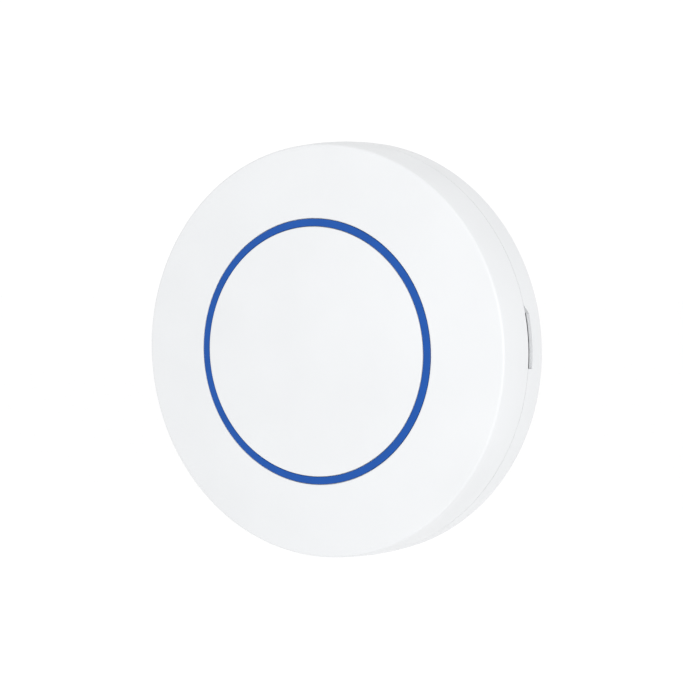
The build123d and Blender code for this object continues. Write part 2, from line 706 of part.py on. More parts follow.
def lead_route():
    """Points of an antenna lead: out from its plug, along the board's edge, down to the foot."""
    plug_z = BOARD_TOP + 1.5
    return [(SOCKET_CIRCLE_RADIUS + PLUG_RADIUS, SOCKET_ASIDE, plug_z),
            (LEAD_ACROSS, SOCKET_ASIDE, plug_z),
            (LEAD_ACROSS, 2, plug_z - 0.5),
            (LEAD_ACROSS + 0.4, 8, SPREADER_TOP + 3.0),
            (LEAD_ACROSS + 0.4, 8, SPREADER_TOP + ANTENNA_SHEET)]


def antenna_lead(angle):
    path = FilletPolyline(*lead_route(), radius=list(LEAD_BENDS))
    section = Plane(path @ 0, z_dir=path % 0) * Circle(LEAD_RADIUS)
    return Rot(Z=angle) * sweep(section, path)


def coax_spots():
    return [polar(angle) * Pos(SOCKET_CIRCLE_RADIUS, SOCKET_ASIDE, 0) for angle in ANTENNA_ANGLES]


def coax_sockets():
    return group(spot * disc(1.0, BOARD_TOP, BOARD_TOP + SOCKET_TOP) for spot in coax_spots())


def coax_plugs():
    """Right-angle plugs that sit over the sockets and hold the leads' ends."""
    cup = disc(PLUG_RADIUS, BOARD_TOP + PLUG_BOTTOM, BOARD_TOP + PLUG_TOP)
    cup -= disc(1.1, BOARD_TOP, BOARD_TOP + SOCKET_TOP + 0.1)
    return group(spot * cup for spot in coax_spots())


# ---------------------------------------------------------------- reset switch

def reset_switch():
    """Push switch on the underside of the board, with a guide hole for its cap."""
    body = centred_block(RESET_X, RESET_Y, SWITCH_SIZE, SWITCH_SIZE, BOARD_Z - SWITCH_HEIGHT, BOARD_Z, 0.5)
    hole = post(RESET_X, RESET_Y, SWITCH_HOLE_RADIUS, BOARD_Z - SWITCH_HEIGHT - PAST,
                BOARD_Z - SWITCH_HOLE_DEPTH)
    return body - hole


def reset_button():
    """Plunger behind the pin hole, with the switch's cap on its upper end."""
    cap_top = BOARD_Z - SWITCH_HOLE_DEPTH - RESET_TRAVEL - PLUNGER_SLACK
    stem = post(RESET_X, RESET_Y, RESET_STEM_RADIUS, PLUNGER_BOTTOM, PLUNGER_SHOULDER)
    collar_ring = post(RESET_X, RESET_Y, PLUNGER_COLLAR_RADIUS, *PLUNGER_COLLAR)
    cap = post(RESET_X, RESET_Y, PLUNGER_CAP_RADIUS, PLUNGER_SHOULDER - 0.1, cap_top)
    return stem + collar_ring + cap


# ---------------------------------------------------------------- front cover

def inside_corner():
    """Radius and height where the cover's inner wall meets the inside of its face."""
    radius = FACE_RADIUS - SHELL
    for _ in range(5):
        radius = wall_radius(inside_height(radius)) - SHELL
    return radius, inside_height(radius)


def cover_shell():
    seam = SEAM_Z + SEAM_GAP / 2
    corner_radius, corner_z = inside_corner()
    outline = (face_arc(FACE_RADIUS)
               + flank_arc(seam, FACE_Z)
               + Line((wall_radius(seam), seam), (wall_radius(seam) - SHELL, seam))
               + flank_arc(seam, corner_z, inset=SHELL)
               + face_arc(corner_radius, inset=FACE_THICKNESS)
               + Line((0, inside_height(0)), (0, face_height(0))))
    shell = turned(outline)
    rims = shell.edges().filter_by(GeomType.CIRCLE)
    face_edge = [rim for rim in rims if abs(rim.radius - FACE_RADIUS) < 0.01]
    return fillet(face_edge, EDGE_ROUND)


def snap_tongue(angle):
    """Flexible tongue with a catch that hooks under the base's rim shelf."""
    half = TONGUE_WIDTH / 2
    tongue = block((TONGUE_INNER, TONGUE_OUTER), (-half, half), (TONGUE_REACH, TONGUE_TOP))
    root = block((TONGUE_INNER, wall_radius(TONGUE_TOP) - SHELL + JOIN), (-half, half),
                 (TONGUE_ROOT_Z, TONGUE_TOP))
    nose = RIM_INNER - CATCH_MISS
    section = Polyline((TONGUE_OUTER - JOIN, TONGUE_REACH), (TONGUE_OUTER - 0.2, TONGUE_REACH),
                       (nose, RIM_SHELF_Z - 0.8), (nose, RIM_SHELF_Z - 0.3),
                       (TONGUE_OUTER - JOIN, RIM_SHELF_Z - 0.3), close=True)
    return Rot(Z=angle) * (tongue + root + turned(section, -CATCH_SPAN / 2, CATCH_SPAN))


def face_rib(angle):
    """Stiffening rib under the face, from the inner ring rib to the wall."""
    section = Polyline((RIB_RING_RADIUS, RIB_BOTTOM), (RIB_END_RADIUS, RIB_BOTTOM),
                       (RIB_END_RADIUS, inside_height(RIB_END_RADIUS) + JOIN),
                       (RIB_RING_RADIUS, inside_height(RIB_RING_RADIUS) + JOIN), close=True)
    face = Plane.XZ * make_face(section)
    return Rot(Z=angle) * extrude(face, RIB_THICKNESS / 2, both=True)


def retainer_boss():
    return disc(COVER_BOSS_RADIUS, RETAINER_TOP, inside_height(RETAINER_SCREW_RADIUS) + JOIN)


def front_cover():
    cover = cover_shell()
    groove_inner, groove_outer = RING_INNER - RING_CLEARANCE, RING_OUTER + RING_CLEARANCE
    cover -= ring(groove_inner, groove_outer, GROOVE_Z, FACE_Z + FACE_DOME)
    for angle in even_angles(LIGHT_COUNT, FIRST_LIGHT - WINDOW_SPAN / 2):
        cover -= sector(RING_INNER, RING_OUTER, RETAINER_TOP, GROOVE_Z + JOIN, angle, angle + WINDOW_SPAN)
    for angle in even_angles(TONGUE_COUNT, 30):
        cover += snap_tongue(angle)
    for angle in even_angles(RIB_COUNT):
        cover += face_rib(angle)
    rib_ring_outer = RIB_RING_RADIUS + RIB_THICKNESS / 2
    cover += ring(rib_ring_outer - RIB_THICKNESS, rib_ring_outer, RIB_BOTTOM,
                  inside_height(rib_ring_outer) + JOIN)
    pilot = disc(COVER_PILOT_RADIUS, RETAINER_TOP - PAST, RETAINER_TOP + COVER_PILOT_DEPTH)
    for angle in even_angles(RETAINER_SCREWS):
        cover += polar(angle, RETAINER_SCREW_RADIUS) * retainer_boss()
        cover -= polar(angle, RETAINER_SCREW_RADIUS) * pilot
    return cover


def light_ring():
    """Translucent ring that shows in the face and follows its dome."""
    bottom = GROOVE_Z + RING_BED
    outline = Polyline((RING_INNER, bottom), (RING_OUTER, bottom),
                       (RING_OUTER, face_height(RING_OUTER) - RING_SINK),
                       (RING_INNER, face_height(RING_INNER) - RING_SINK), close=True)
    body = turned(outline)
    return fillet(body.edges().filter_by(GeomType.CIRCLE).group_by(Axis.Z)[-2:], 0.2)


def light_guide():
    """Clear ring between the lamps and the windows, with a tooth in each window."""
    top = inside_height(RING_OUTER) - 0.1
    guide = ring(RING_INNER, RING_OUTER, GUIDE_BOTTOM, top)
    flange_outer = RETAINER_SCREW_RADIUS - COVER_BOSS_RADIUS - 0.3
    guide += ring(RING_MID, flange_outer, GUIDE_FLANGE_Z, GUIDE_FLANGE_Z + GUIDE_FLANGE_THICKNESS)
    tooth_span = WINDOW_SPAN - 2
    for angle in even_angles(LIGHT_COUNT, FIRST_LIGHT - tooth_span / 2):
        guide += sector(RING_INNER + 0.3, RING_OUTER - 0.3, top - JOIN, GROOVE_Z, angle, angle + tooth_span)
    return guide


def guide_retainer():
    """Flat ring screwed under the light guide's flange."""
    bottom = RETAINER_TOP - RETAINER_THICKNESS
    plate = ring(RING_OUTER + 0.4, 66.0, bottom, RETAINER_TOP)
    for angle in even_angles(RETAINER_SCREWS):
        plate -= polar(angle, RETAINER_SCREW_RADIUS) * disc(PILOT_RADIUS, bottom - PAST, RETAINER_TOP + PAST)
    return plate


def retainer_screws():
    """The screws point towards the face, so each is turned head down."""
    fastener = Rot(X=180) * screw(head_radius=2.1, head_height=1.3, shank_radius=1.0, length=4.0)
    under_side = RETAINER_TOP - RETAINER_THICKNESS
    return group(polar(angle, RETAINER_SCREW_RADIUS, under_side) * fastener
                 for angle in even_angles(RETAINER_SCREWS))


# ---------------------------------------------------------------- assembly

def build_nodes():
    nodes = {
        "mounting_bracket": mounting_bracket(),
        "rear_base": rear_base(),
        "rating_label": rating_label(),
        "heat_spreader": heat_spreader(),
        "spreader_screws": spreader_screws(),
        "main_board": main_board(),
        "board_screws": board_screws(),
        "memory_chips": memory_chips(),
        "thermal_pads": thermal_pads(),
        "transformer_core": transformer_core(),
        "transformer_winding": transformer_winding(),
        "power_inductor": power_inductor(),
        "bulk_capacitors": bulk_capacitors(),
        "lan_magnetics": lan_magnetics(),
        "board_passives": board_passives(),
        "status_leds": status_leds(),
        "jack_primary": jack(-1),
        "jack_secondary": jack(1),
        "jack_contacts_primary": jack_contacts(-1),
        "jack_contacts_secondary": jack_contacts(1),
        "coax_sockets": coax_sockets(),
        "coax_plugs": coax_plugs(),
        "reset_switch": reset_switch(),
        "reset_button": reset_button(),
        "front_cover": front_cover(),
        "light_ring": light_ring(),
        "light_guide": light_guide(),
        "guide_retainer": guide_retainer(),
        "retainer_screws": retainer_screws(),
    }
    for name, outline in CHIPS.items():
        nodes[name] = chip(*outline)
    for name, outline in SHIELDS.items():
        nodes[name] = shield_can(*outline)
    for number, angle in enumerate(ANTENNA_ANGLES, start=1):
        nodes[f"antenna_{number}"] = antenna(angle)
        nodes[f"antenna_lead_{number}"] = antenna_lead(angle)
    return nodes


def place(piece):
    """Turn a piece from the build frame into the part's frame: face along -Y, +Z up."""
    solids = [Rot(X=90) * solid for solid in piece.solids()]
    return solids[0] if len(solids) == 1 else Compound(solids)


os.makedirs("parts", exist_ok=True)
for node_name, shape in build_nodes().items():
    export_step(place(shape), f"parts/{node_name}.step")
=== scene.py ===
"""Looks of the ceiling access point: fine visible shells, materials, studio light and camera.

Sections are drawn as (radius, height) in millimetres about the unit's axis, height counted from
the mounting plane towards the face, and turned about the frame's Y axis.
"""
import json
import math

import bmesh
import bpy
from mathutils import Matrix, Vector


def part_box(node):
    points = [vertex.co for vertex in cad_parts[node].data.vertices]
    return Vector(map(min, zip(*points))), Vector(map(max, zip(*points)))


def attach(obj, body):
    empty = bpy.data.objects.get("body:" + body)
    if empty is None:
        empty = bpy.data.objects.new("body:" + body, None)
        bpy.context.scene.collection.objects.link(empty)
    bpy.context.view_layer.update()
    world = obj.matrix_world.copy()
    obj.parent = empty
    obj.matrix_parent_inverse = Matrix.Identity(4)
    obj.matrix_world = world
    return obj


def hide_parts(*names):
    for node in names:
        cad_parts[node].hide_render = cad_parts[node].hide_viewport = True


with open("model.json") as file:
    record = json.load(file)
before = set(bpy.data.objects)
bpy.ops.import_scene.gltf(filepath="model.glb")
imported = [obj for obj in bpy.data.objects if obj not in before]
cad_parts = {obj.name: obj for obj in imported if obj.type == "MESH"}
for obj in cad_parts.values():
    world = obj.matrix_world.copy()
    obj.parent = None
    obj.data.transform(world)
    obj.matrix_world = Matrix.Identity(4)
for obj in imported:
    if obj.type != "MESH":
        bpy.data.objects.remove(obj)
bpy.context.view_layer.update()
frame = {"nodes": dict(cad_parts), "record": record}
NODES = frame["nodes"]
MM = 0.001

# ---- sizes read from the frame ----
DOME_TOP = -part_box("front_cover")[0].y / MM
RING_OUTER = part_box("light_ring")[1].x / MM
RETAINER_TOP = -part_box("guide_retainer")[0].y / MM

# ---- front cover, as in the CAD model ----
FACE_Z = 32.6              # height of the face's rim
FACE_RADIUS = 90.3
FACE_DOME = DOME_TOP - FACE_Z
FLANK_SLOPE = 0.200
FLANK_CURVE = 0.00273
EDGE_ROUND = 1.2
SHELL = 2.0                # wall thickness of the flank
FACE_THICKNESS = 2.2
INNER_CORNER = 88.7        # where the inside of the flank meets the inside of the face
INNER_ROUND = 0.6
INNER_WALL_TOP = 29.2
RING_INNER = RING_OUTER - 3.2
RING_GAP = 0.2
RING_DEPTH = 1.2
RING_SINK = 0.1
WINDOW_COUNT = 12
WINDOW_START = 3           # degrees from +X
WINDOW_SPAN = 24
RIB_COUNT = 12
RIB_BOTTOM = 28.8
RIB_HALF = 0.6
RIB_RING_OUTER = 68.6
RIB_RING_INNER = RIB_RING_OUTER - 2 * RIB_HALF
RIB_END = 86.0
BOSS_COUNT = 6
BOSS_CIRCLE = 62.5
BOSS_RADIUS = 2.6
BOSS_BORE = 1.05
BOSS_BORE_TOP = RETAINER_TOP + 4.2
TONGUE_COUNT = 6
TONGUE_START = 30          # degrees from +X
TONGUE_INNER = 86.5
TONGUE_OUTER = 88.4
TONGUE_TIP = 8.6
TONGUE_TOP = 24.0
TONGUE_HALF = 6.0
TONGUE_EDGE = 0.3
ROOT_INNER = 86.7          # the root block joins each tongue to the flank
ROOT_BOTTOM = 17.4
ROOT_TOP = 23.9
ROOT_HALF = 5.95
CATCH_INNER = 87.9
CATCH_NOSE = 89.0
CATCH_BOTTOM = 9.1
CATCH_TOP = 10.2
CATCH_HALF = 5.4
CATCH_EDGE = 0.12

# ---- what the visible shell adds ----
COVER_SEAM = 13.80         # lower edge of the cover; the base's edge is 0.15 below it
SEAM_SOFTNESS = 0.18
GROOVE_SOFTNESS = 0.45
RING_SOFTNESS = 0.3
BLOCK_SOFTNESS = 0.15
BORE_SOFTNESS = 0.12
GROOVE_MARGIN = 1.2        # a rounded corner's sides stay free of other points this far
CORNER_MARGIN = 2.0
SEAM_MARGIN = 0.8
RING_LIFT = 0.02           # keeps the inlay's underside clear of the groove's floor
EMBED = 0.4                # how far a block runs into the wall that carries it
RING_EMBED = 0.3           # the same for the turned ring and posts
TURN_STEPS = 360           # one step is one degree
BOSS_STEPS = 32
ON_AXIS = 1e-6             # millimetres
WELD = 1e-7                # metres
SHARP_ANGLE = math.radians(35)

# ---- camera ----
AZIMUTH = math.radians(30.46)
ELEVATION = math.radians(2.71)
CAMERA_DISTANCE = 0.5694
CAMERA_ASIDE = 0.01225
CAMERA_ABOVE = 0.00447
LENS_MM = 68.52
SENSOR_MM = 36.0
CLIP_NEAR = 0.01
CLIP_FAR = 50.0

# ---- studio ----
WORLD_STRENGTH = 1.03
FLOOR_HALF = 20.0          # metres, as are the lamps' places and sizes
FLOOR_LEVEL = -0.3
SOFTBOXES = (              # name, place, size, watts
    ("key", (0.78, -0.90, 0.14), 0.60, 4.8),
    ("front_fill", (-0.40, -0.95, 0.35), 0.70, 0.45),
    ("back_fill", (-0.50, 0.60, -0.05), 0.50, 1.0),
)


def wall_radius(z):
    """Outer radius of the flank, which swells towards the mounting plane."""
    depth = FACE_Z - z
    return FACE_RADIUS + FLANK_SLOPE * depth - FLANK_CURVE * depth ** 2


def face_height(radius):
    return FACE_Z + FACE_DOME * (1 - (radius / FACE_RADIUS) ** 2)


def under_face(radius):
    return face_height(radius) - FACE_THICKNESS


RING_FLOOR = face_height(RING_OUTER) - RING_DEPTH


# ---------------------------------------------------------------- mesh helpers

def spread(start, end, count):
    """count + 1 evenly spaced values from start to end."""
    return [start + (end - start) * i / count for i in range(count + 1)]


def even_angles(count, first=0.0):
    return [first + 360.0 * i / count for i in range(count)]


def rounded(corners, steps=5):
    """Points of a section whose corners (radius, height, rounding) are rounded."""
    points = []
    for i, (r, z, rounding) in enumerate(corners):
        here = Vector((r, z))
        if not rounding:
            points.append(here)
            continue
        before = (Vector(corners[i - 1][:2]) - here).normalized()
        after = (Vector(corners[(i + 1) % len(corners)][:2]) - here).normalized()
        half = before.angle(after) / 2
        centre = here + (before + after).normalized() * (rounding / math.sin(half))
        start = here + before * (rounding / math.tan(half)) - centre
        sweep = start.angle_signed(here + after * (rounding / math.tan(half)) - centre)
        points += [centre + Matrix.Rotation(-sweep * share, 2) @ start for share in spread(0, 1, steps)]
    return [tuple(point) for point in points]


def new_object(name, data):
    piece = bpy.data.objects.new(name, data)
    bpy.context.scene.collection.objects.link(piece)
    return piece


def to_frame(x, y, z):
    """Millimetres on the unit's own axes, z towards the face, to the frame's metres."""
    return Vector((x * MM, -z * MM, y * MM))


def around(angle, radius, aside, z):
    """A point at one distance from the axis and one sideways step, turned by an angle."""
    across, up = math.cos(math.radians(angle)), math.sin(math.radians(angle))
    return to_frame(radius * across - aside * up, radius * up + aside * across, z)


def turned_columns(bm, section, centre, steps):
    """The section's points at every step of one full turn about an axis at centre."""
    columns = []
    for step in range(steps):
        turn = 2 * math.pi * step / steps
        columns.append([bm.verts.new(to_frame(centre[0] + r * math.cos(turn),
                                              centre[1] + r * math.sin(turn), z))
                        for r, z in section])
    return columns


def line_windows(bm, columns, open_columns, floor, under):
    """Walls of the openings that run from the section's edge floor to its edge under."""
    for i in sorted(open_columns):
        here, there = columns[i], columns[(i + 1) % len(columns)]
        bm.faces.new([here[floor], there[floor], there[under + 1], here[under + 1]])
        bm.faces.new([here[floor + 1], there[floor + 1], there[under], here[under]])
        for column, neighbour in ((here, i - 1), (there, i + 1)):
            if neighbour % len(columns) not in open_columns:
                bm.faces.new([column[floor], column[floor + 1], column[under], column[under + 1]])


def lathe(bm, section, closed=False, centre=(0.0, 0.0), steps=TURN_STEPS, windows=None):
    """Turns a section about an axis.  windows = (columns, its two edges) are cut right through."""
    columns = turned_columns(bm, section, centre, steps)
    open_columns, open_edges = windows or ((), ())
    for i, here in enumerate(columns):
        there = columns[(i + 1) % steps]
        for j in range(len(section) if closed else len(section) - 1):
            if i in open_columns and j in open_edges:
                continue
            k = (j + 1) % len(section)
            corners = [here[j], here[k], there[k], there[j]]
            if section[j][0] < ON_AXIS:
                corners.remove(there[j])
            elif section[k][0] < ON_AXIS:
                corners.remove(there[k])
            bm.faces.new(corners)
    if windows:
        line_windows(bm, columns, open_columns, *open_edges)


def polar_block(bm, angle, radii, half_width, bottom, tops, edge=BLOCK_SOFTNESS):
    """A block with softened edges between two radii; tops are its heights at them."""
    corners = []
    for radius, top in zip(radii, tops):
        for aside in (-half_width, half_width):
            corners += [bm.verts.new(around(angle, radius, aside, z)) for z in (bottom, top)]
    sides = [(0, 1, 3, 2), (4, 6, 7, 5), (0, 4, 5, 1), (2, 3, 7, 6), (0, 2, 6, 4), (1, 5, 7, 3)]
    faces = [bm.faces.new([corners[i] for i in side]) for side in sides]
    bmesh.ops.recalc_face_normals(bm, faces=faces)
    lines = list({line for face in faces for line in face.edges})
    bmesh.ops.bevel(bm, geom=lines, offset=edge * MM, segments=2, affect="EDGES", profile=0.5)


def mesh_from(name, bm):
    bmesh.ops.remove_doubles(bm, verts=bm.verts, dist=WELD)
    bmesh.ops.recalc_face_normals(bm, faces=bm.faces)
    mesh = bpy.data.meshes.new(name)
    bm.to_mesh(mesh)
    bm.free()
    mesh.shade_smooth()
    mesh.set_sharp_from_angle(angle=SHARP_ANGLE)
    return mesh


def stand_for(piece, node, slot, body):
    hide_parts(node)
    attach(piece, body)
    piece.data.materials.append(MATERIALS[slot])


# ---------------------------------------------------------------- front cover and light ring

def cover_section():
    """Domed face with a softly edged groove, swelling flank, thin seam edge, and the inside."""
    groove_in, groove_out = RING_INNER - RING_GAP, RING_OUTER + RING_GAP
    corners = [(r, face_height(r), 0) for r in spread(0, groove_in - GROOVE_MARGIN, 14)]
    corners += [(groove_in, face_height(groove_in), GROOVE_SOFTNESS)]
    corners += [(r, RING_FLOOR, 0) for r in (groove_in, RING_INNER, RING_OUTER, groove_out)]
    corners += [(groove_out, face_height(groove_out), GROOVE_SOFTNESS)]
    corners += [(r, face_height(r), 0)
                for r in spread(groove_out + GROOVE_MARGIN, FACE_RADIUS - CORNER_MARGIN, 10)]
    corners += [(FACE_RADIUS, FACE_Z, EDGE_ROUND)]
    corners += [(wall_radius(z), z, 0)
                for z in spread(FACE_Z - CORNER_MARGIN, COVER_SEAM + SEAM_MARGIN, 12)]
    corners += [(wall_radius(COVER_SEAM), COVER_SEAM, SEAM_SOFTNESS),
                (wall_radius(COVER_SEAM) - SHELL, COVER_SEAM, SEAM_SOFTNESS)]
    corners += [(wall_radius(z) - SHELL, z, 0)
                for z in spread(COVER_SEAM + SEAM_MARGIN, INNER_WALL_TOP, 8)]
    corners += [(INNER_CORNER, under_face(INNER_CORNER), INNER_ROUND)]
    corners += [(r, under_face(r), 0)
                for r in spread(INNER_CORNER - CORNER_MARGIN, RING_OUTER + CORNER_MARGIN, 8)]
    corners += [(r, under_face(r), 0) for r in (RING_OUTER, RING_INNER)]
    corners += [(r, under_face(r), 0) for r in spread(RING_INNER - CORNER_MARGIN, 0, 12)]
    return rounded(corners)


def nearest(section, r, z):
    """Index of the section's point that is closest to a place."""
    return min(range(len(section)), key=lambda i: math.dist(section[i], (r, z)))


def cover_windows(section):
    """Columns and section edges that the light windows under the ring cut through."""
    floor_edge = nearest(section, RING_INNER, RING_FLOOR)
    under_edge = nearest(section, RING_OUTER, under_face(RING_OUTER))
    starts = even_angles(WINDOW_COUNT, WINDOW_START)
    columns = {int(start) + i for start in starts for i in range(WINDOW_SPAN)}
    return columns, (floor_edge, under_edge)


def add_cover_ribs(bm):
    """A stiffening ring under the face, and ribs from it to the flank."""
    for angle in even_angles(RIB_COUNT):
        polar_block(bm, angle, (RIB_RING_OUTER - RING_EMBED, RIB_END), RIB_HALF, RIB_BOTTOM,
                    (under_face(RIB_RING_OUTER) + EMBED, under_face(RIB_END) + EMBED))
    top = under_face(RIB_RING_OUTER) + RING_EMBED
    ring = [(RIB_RING_INNER, RIB_BOTTOM, BLOCK_SOFTNESS), (RIB_RING_OUTER, RIB_BOTTOM, BLOCK_SOFTNESS),
            (RIB_RING_OUTER, top, 0), (RIB_RING_INNER, top, 0)]
    lathe(bm, rounded(ring, 2), closed=True)


def add_retainer_bosses(bm):
    """Bored posts for the retainer's screws; each section runs from axis to axis."""
    top = under_face(BOSS_CIRCLE) + RING_EMBED
    section = rounded([(0, BOSS_BORE_TOP, 0), (BOSS_BORE, BOSS_BORE_TOP, 0),
                       (BOSS_BORE, RETAINER_TOP, BORE_SOFTNESS),
                       (BOSS_RADIUS, RETAINER_TOP, BLOCK_SOFTNESS),
                       (BOSS_RADIUS, top, 0), (0, top, 0)], 2)
    for angle in even_angles(BOSS_COUNT):
        turn = math.radians(angle)
        centre = (BOSS_CIRCLE * math.cos(turn), BOSS_CIRCLE * math.sin(turn))
        lathe(bm, section, centre=centre, steps=BOSS_STEPS)


def add_snap_tongues(bm):
    """Six tongues, each with its root block on the wall and its catch at the tip."""
    root_outer = wall_radius(TONGUE_TOP) - SHELL + EMBED
    for angle in even_angles(TONGUE_COUNT, TONGUE_START):
        polar_block(bm, angle, (TONGUE_INNER, TONGUE_OUTER), TONGUE_HALF, TONGUE_TIP,
                    (TONGUE_TOP, TONGUE_TOP), TONGUE_EDGE)
        polar_block(bm, angle, (ROOT_INNER, root_outer), ROOT_HALF, ROOT_BOTTOM,
                    (ROOT_TOP, ROOT_TOP), TONGUE_EDGE)
        polar_block(bm, angle, (CATCH_INNER, CATCH_NOSE), CATCH_HALF, CATCH_BOTTOM,
                    (CATCH_TOP, CATCH_TOP), CATCH_EDGE)


def front_cover():
    section = cover_section()
    bm = bmesh.new()
    lathe(bm, section, windows=cover_windows(section))
    add_cover_ribs(bm)
    add_retainer_bosses(bm)
    add_snap_tongues(bm)
    stand_for(new_object("front_cover_shell", mesh_from("front_cover_shell", bm)),
              "front_cover", "shell_white", "cover")


def light_ring():
    """Inlay in the groove, a hair below the face, with softened upper edges."""
    bottom = RING_FLOOR + RING_LIFT
    corners = [(RING_INNER, bottom, 0),
               (RING_INNER, face_height(RING_INNER) - RING_SINK, RING_SOFTNESS),
               (RING_OUTER, face_height(RING_OUTER) - RING_SINK, RING_SOFTNESS),
               (RING_OUTER, bottom, 0)]
    bm = bmesh.new()
    lathe(bm, rounded(corners), closed=True)
    stand_for(new_object("light_ring_inlay", mesh_from("light_ring_inlay", bm)),
              "light_ring", "light_blue", "cover")


# ---------------------------------------------------------------- materials

class Shader:
    """A principled material with shorthands for procedural detail; lengths are in millimetres."""

    def __init__(self, name, colour, roughness, metallic=0.0, specular=0.5):
        self.material = bpy.data.materials.new(name)
        self.material.use_nodes = True
        self.tree = self.material.node_tree
        self.bsdf = self.tree.nodes["Principled BSDF"]
        self.set("Base Color", (*colour, 1.0))
        self.set("Roughness", roughness)
        self.set("Metallic", metallic)
        self.set("Specular IOR Level", specular)
        self.coords = self.node("ShaderNodeTexCoord").outputs["Object"]

    def set(self, socket, value):
        self.bsdf.inputs[socket].default_value = value

    def node(self, kind, settings=None, **inputs):
        made = self.tree.nodes.new(kind)
        for key, value in (settings or {}).items():
            setattr(made, key, value)
        for key, value in inputs.items():
            made.inputs[key.replace("_", " ")].default_value = value
        return made

    def link(self, out, into):
        self.tree.links.new(out, into)

    def stretched(self, stretch):
        mapping = self.node("ShaderNodeMapping", Scale=stretch)
        self.link(self.coords, mapping.inputs["Vector"])
        return mapping.outputs["Vector"]

    def noise(self, size, detail=3.0, stretch=(1, 1, 1)):
        """Cloudy noise whose lumps are about size across."""
        made = self.node("ShaderNodeTexNoise", Scale=1.0 / (size * MM), Detail=detail)
        self.link(self.stretched(stretch), made.inputs["Vector"])
        return made.outputs["Fac"]

    def cells(self, size, output="Distance", distance="EUCLIDEAN"):
        """Cellular pattern whose cells are about size across."""
        made = self.node("ShaderNodeTexVoronoi", {"distance": distance}, Scale=1.0 / (size * MM))
        self.link(self.coords, made.inputs["Vector"])
        return made.outputs[output]

    def cell_value(self, size):
        """A random value that is constant inside each square-ish cell."""
        split = self.node("ShaderNodeSeparateColor")
        self.link(self.cells(size, "Color", "CHEBYCHEV"), split.inputs["Color"])
        return split.outputs["Red"]

    def axis(self, name):
        split = self.node("ShaderNodeSeparateXYZ")
        self.link(self.coords, split.inputs["Vector"])
        return split.outputs[name]

    def math(self, operation, first, second=0.0):
        """Arithmetic on two sides, each a float or the output of another node."""
        made = self.node("ShaderNodeMath", {"operation": operation})
        for socket, value in zip(made.inputs, (first, second)):
            if isinstance(value, float):
                socket.default_value = value
            else:
                self.link(value, socket)
        return made.outputs["Value"]

    def stripes(self, axis, pitch, share):
        """1 on stripes across an axis, 0 between them."""
        place = self.math("FRACT", self.math("MULTIPLY", self.axis(axis), 1.0 / (pitch * MM)))
        return self.math("LESS_THAN", place, share)

    def ramp(self, fac, low=0.0, high=1.0, start=0.3, end=0.7):
        """Carries values from start..end over to low..high."""
        remap = self.node("ShaderNodeMapRange", From_Min=start, From_Max=end, To_Min=low, To_Max=high)
        self.link(fac, remap.inputs["Value"])
        return remap.outputs["Result"]

    def mix(self, fac, first, second):
        """Colour mix; each side is a colour or the output of another mix."""
        made = self.node("ShaderNodeMix", {"data_type": "RGBA"})
        self.link(fac, made.inputs[0])
        for socket, value in zip(made.inputs[6:8], (first, second)):
            if isinstance(value, tuple):
                socket.default_value = (*value, 1.0)
            else:
                self.link(value, socket)
        return made.outputs[2]

    def colour(self, source):
        self.link(source, self.bsdf.inputs["Base Color"])

    def roughen(self, fac, low, high):
        self.link(self.ramp(fac, low, high), self.bsdf.inputs["Roughness"])

    def bump(self, fac, depth, edge=0.0):
        """Relief of one depth; edge softens the piece's sharp edges by that radius."""
        made = self.node("ShaderNodeBump", Strength=1.0, Distance=depth * MM)
        self.link(fac, made.inputs["Height"])
        if edge:
            soft = self.node("ShaderNodeBevel", {"samples": 4}, Radius=edge * MM)
            self.link(soft.outputs["Normal"], made.inputs["Normal"])
        self.link(made.outputs["Normal"], self.bsdf.inputs["Normal"])


def scaled(colour, factor):
    """The colour made lighter or darker."""
    return tuple(min(1.0, channel * factor) for channel in colour)


def moulded(name, colour, roughness, grain=0.5, depth=0.012, specular=0.5, edge=0.0):
    """Moulded plastic: spark-eroded grain, faint flow mottling, slightly uneven gloss."""
    shader = Shader(name, colour, roughness, specular=specular)
    shader.bump(shader.noise(grain, 2.0), depth, edge)
    mottling = shader.ramp(shader.noise(38.0, 2.0))
    shader.colour(shader.mix(mottling, scaled(colour, 0.985), scaled(colour, 1.012)))
    shader.roughen(shader.noise(14.0), roughness - 0.05, roughness + 0.05)
    return shader


def worn_metal(name, colour, roughness, stretch=(1, 1, 1), grain=0.6, depth=0.006, edge=0.15):
    """Metal with rolling or casting marks, handling stains and uneven polish."""
    shader = Shader(name, colour, roughness, metallic=1.0)
    marks = shader.noise(grain, 2.0, stretch)
    shader.bump(marks, depth, edge)
    shader.roughen(shader.noise(6.0, 2.0), roughness - 0.06, roughness + 0.1)
    patches = shader.ramp(shader.noise(11.0, 2.0), start=0.5, end=0.85)
    stained = shader.mix(patches, colour, scaled(colour, 0.88))
    shader.colour(shader.mix(shader.ramp(marks, 0.0, 0.2), stained, scaled(colour, 0.85)))
    return shader


